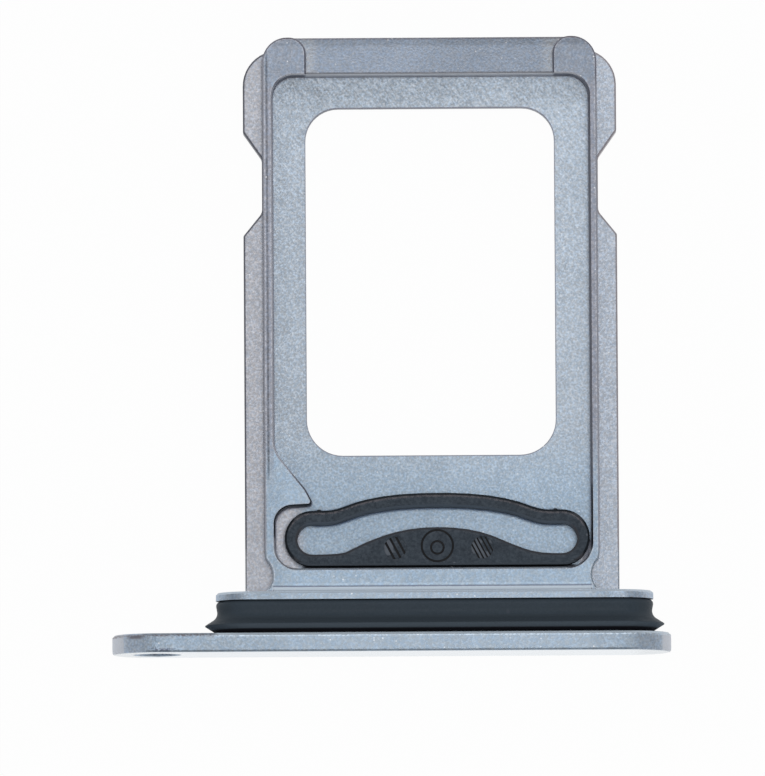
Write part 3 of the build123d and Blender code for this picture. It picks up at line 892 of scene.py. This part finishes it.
def clipWalls(tree, colour, look, x, along, lines):
    # painted highlight on the foot's near edge and painted light on the loop's inside walls
    reach = zone(tree, maths(tree, "ABSOLUTE", minus(tree, x, look["insideMiddle"])), look["insideReach"])
    inside = times(tree, reach, zone(tree, along, look["insideAlong"]))
    return paint(
        tree, colour, look,
        (times(tree, zone(tree, along, look["footEdge"]), lines["Bevel"]), "footEdgeHighlightTone"),
        (times(tree, inside, opposite(tree, lines["Flat"])), "insideWallLightTone"),
    )


def mouldMarks(tree, colour, look, height, flat, grain):
    # paler beds of the round marks, and painted shade in the sunk marks' floors
    paleBed = times(tree, zone(tree, height, look["paleBedHeight"]), flat, look["paleBedAmount"])
    sunk = within(tree, (height, look["sunkTop"]), (height, look["sunkBottom"]))
    return paint(
        tree, colour, look,
        (times(tree, paleBed, zone(tree, grain["Mottle"], look["paleBedBreaks"])), "speckTone"),
        (times(tree, sunk, flat, look["sunkAmount"]), "cavityShadeTone"),
    )


def makeDarkMaterial(look):
    material, tree, shader = newMaterial(look["name"])
    place = millimetres(tree)
    x, along, z = splitAxes(tree, place)
    scales = {"Place": place, "Fine": look["fine"], "Broad": look["broad"], "Dots": look["dots"]}
    grain = useGroup(tree, surfaceGrain, scales)
    lines = useGroup(tree, edgeLines, {"Reach": look["reach"], "Edge Width": look["lineWidth"]})
    flat = lines["Flat"]
    mottle = times(tree, grain["Mottle"], look["mottleShare"])
    mixed = plus(tree, mottle, times(tree, grain["Speckle"], 1 - look["mottleShare"]))
    colour = mixColour(tree, mixed, look["tone"], look["lightTone"])
    # grain and specks, then the slant tone on slopes, which is painted shade on the clip
    colour = paint(
        tree, colour, look,
        (times(tree, grain["Specks"], look["speckAmount"]), "speckTone"),
        (opposite(tree, flat), "slantTone"),
    )
    if "insideWallLightTone" in look:
        colour = clipWalls(tree, colour, look, x, along, lines)
    # painted light on walls that face the plate
    nearWall = times(tree, lines["Near Wall"], zone(tree, along, look["nearWallAlong"]))
    colour = paint(tree, colour, look, (nearWall, "nearWallLightTone"))
    # painted highlight on the seal's lip and painted shade at its foot
    if "lipHighlightTone" in look:
        lipHighlight = zone(tree, along, look["lipHighlightAlong"])
        darkFoot = zone(tree, along, look["darkFootAlong"])
        colour = paint(tree, colour, look, (lipHighlight, "lipHighlightTone"), (darkFoot, "cavityShadeTone"))
    # painted highlight lines along edges that face the far end; on the clip a painted shade strip lies
    # between them and the edge
    broken = zone(tree, grain["Speckle"], look["lineBreaks"])
    fading = ramp(tree, along, *look["lineAlong"], look["lineLeast"], 1.0)
    edge = times(tree, lines["Far Edge"], flat, broken, fading)
    if "lineCore" in look:
        edge = times(tree, edge, opposite(tree, lines["Core"]))
        core = times(tree, lines["Far Edge"], lines["Core"], flat, zone(tree, along, look["lineAlong"]))
        colour = paint(tree, colour, look, (times(tree, core, look["lineCore"]), "slantTone"))
    colour = paint(tree, colour, look, (times(tree, edge, look["lineAmount"]), "lineTone"))
    if "paleBedHeight" in look:
        colour = mouldMarks(tree, colour, look, maths(tree, "ABSOLUTE", z), flat, grain)
    # painted shade in inner corners
    cavity = times(tree, lines["Cavity"], look["cavityAmount"])
    fill(shader.inputs["Base Color"], paint(tree, colour, look, (cavity, "cavityShadeTone")))
    fill(shader.inputs["Roughness"], byMask(tree, grain["Mottle"], look["roughness"]))
    shader.inputs["Specular IOR Level"].default_value = look["specular"]
    grainBump(tree, shader, times(tree, grain["Speckle"], look["grainDepth"]))
    return material


def dress(nodeNames, material):
    for nodeName in nodeNames:
        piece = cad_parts[nodeName]
        piece.data.materials.clear()
        piece.data.materials.append(material)
    print("dressed", ", ".join(nodeNames), "with", material.name)


dress(["tray_body"], makeTrayMetal(trayLook))
dress(["card_clip_upper", "card_clip_lower"], makeDarkMaterial(clipLook))
dress(["seal_ring"], makeDarkMaterial(sealLook))


tableSettings = {
    "size": 900,  # side of the square
    "tone": (0.90, 0.91, 0.92, 1),
    "roughness": 0.9,
    "whiteShare": 0.97,  # how much of the seen white doesn't depend on the lamps; the rest takes the shadow
}


def makeTable(settings):
    lowest, _ = cadBox
    bpy.ops.object.select_all(action="DESELECT")
    bpy.ops.mesh.primitive_plane_add(size=settings["size"] * mm, location=(0, 0, lowest.z))
    table = bpy.context.object
    table.name = "table"
    bpy.ops.object.transform_apply(location=True)
    material, tree, shader = newMaterial("whiteTable")
    shader.inputs["Base Color"].default_value = settings["tone"]
    shader.inputs["Roughness"].default_value = settings["roughness"]
    white = addNode(tree, "ShaderNodeEmission")
    path = addNode(tree, "ShaderNodeLightPath")
    seen = plus(tree, path.outputs["Is Camera Ray"], path.outputs["Is Glossy Ray"])
    seen = maths(tree, "ADD", seen, path.outputs["Is Transmission Ray"], clamp=True)
    blend = addNode(tree, "ShaderNodeMixShader")
    fill(blend.inputs["Fac"], times(tree, seen, settings["whiteShare"]))
    tree.links.new(shader.outputs["BSDF"], blend.inputs[1])
    tree.links.new(white.outputs["Emission"], blend.inputs[2])
    tree.links.new(blend.outputs["Shader"], tree.nodes["Material Output"].inputs["Surface"])
    table.data.materials.append(material)


makeTable(tableSettings)
print("table laid")


lightSettings = {
    "sunStrength": 0.64,
    "sunSpread": 18,  # degrees, softness of the shadows
    "sunLean": 1,  # degrees from straight overhead, towards the tray's far end
    "sunSide": 3,  # degrees from straight overhead, towards the tray's right
    "skyTop": 0.48,
    "skyLow": 0.37,  # brightness of the walls of the room
    "skyRise": (0.35, 0.85),  # how high the walls end and the ceiling begins
    "skyFar": -0.02,  # added to the far wall and taken from the near one
    "skyRight": 0.02,  # added to the right wall and taken from the left one
}


def makeLight(settings):
    lamp = bpy.data.lights.new("overheadLamp", "SUN")
    lamp.energy = settings["sunStrength"]
    lamp.angle = math.radians(settings["sunSpread"])
    holder = bpy.data.objects.new("overheadLamp", lamp)
    holder.rotation_euler = (-math.radians(settings["sunLean"]), math.radians(settings["sunSide"]), 0)
    bpy.context.scene.collection.objects.link(holder)

    world = bpy.data.worlds.new("softRoom")
    bpy.context.scene.world = world
    world.use_nodes = True
    tree = world.node_tree
    tree.nodes.clear()
    output = addNode(tree, "ShaderNodeOutputWorld")
    direction = addNode(tree, "ShaderNodeTexCoord")
    right, far, up = splitAxes(tree, direction.outputs["Generated"])
    farWall = times(tree, far, settings["skyFar"])
    walls = plus(tree, farWall, settings["skyLow"], times(tree, right, settings["skyRight"]))
    towards = addNode(tree, "ShaderNodeMix", data_type="FLOAT")
    fill(towards.inputs["Factor"], zone(tree, up, settings["skyRise"]))
    fill(towards.inputs["A"], walls)
    fill(towards.inputs["B"], settings["skyTop"])
    room = addNode(tree, "ShaderNodeBackground")
    room.inputs["Color"].default_value = (1, 1, 1, 1)
    fill(room.inputs["Strength"], towards.outputs["Result"])
    tree.links.new(room.outputs["Background"], output.inputs["Surface"])


makeLight(lightSettings)
bpy.context.scene.view_settings.view_transform = "Standard"
print("light set")


cameraSettings = {
    "target": (-0.22, 7.61, 0.0),  # what the middle of the picture looks at
    "distance": 500,
    "nearest": 10,
    "furthest": 5000,
    "elevation": 85.5,  # degrees above the table
    "roll": -0.35,  # degrees
    "pixelsPerMm": 35.0,
    "pictureHeight": 776,  # pixels, the picture's longer side
    "sensor": 36,
}


def makeCamera(settings):
    camera = bpy.data.cameras.new("photoCamera")
    camera.sensor_width = settings["sensor"]
    lensTimesHeight = settings["sensor"] * settings["distance"] * settings["pixelsPerMm"]
    camera.lens = lensTimesHeight / settings["pictureHeight"]
    camera.clip_start = settings["nearest"] * mm
    camera.clip_end = settings["furthest"] * mm
    holder = bpy.data.objects.new("photoCamera", camera)
    angle = math.radians(settings["elevation"])
    back = Vector((0, -math.cos(angle), math.sin(angle)))
    holder.location = (Vector(settings["target"]) + back * settings["distance"]) * mm
    holder.rotation_mode = "QUATERNION"
    roll = Quaternion((0, 0, 1), math.radians(settings["roll"]))
    holder.rotation_quaternion = (-back).to_track_quat("-Z", "Y") @ roll
    bpy.context.scene.collection.objects.link(holder)
    bpy.context.scene.camera = holder


makeCamera(cameraSettings)
print("camera placed")
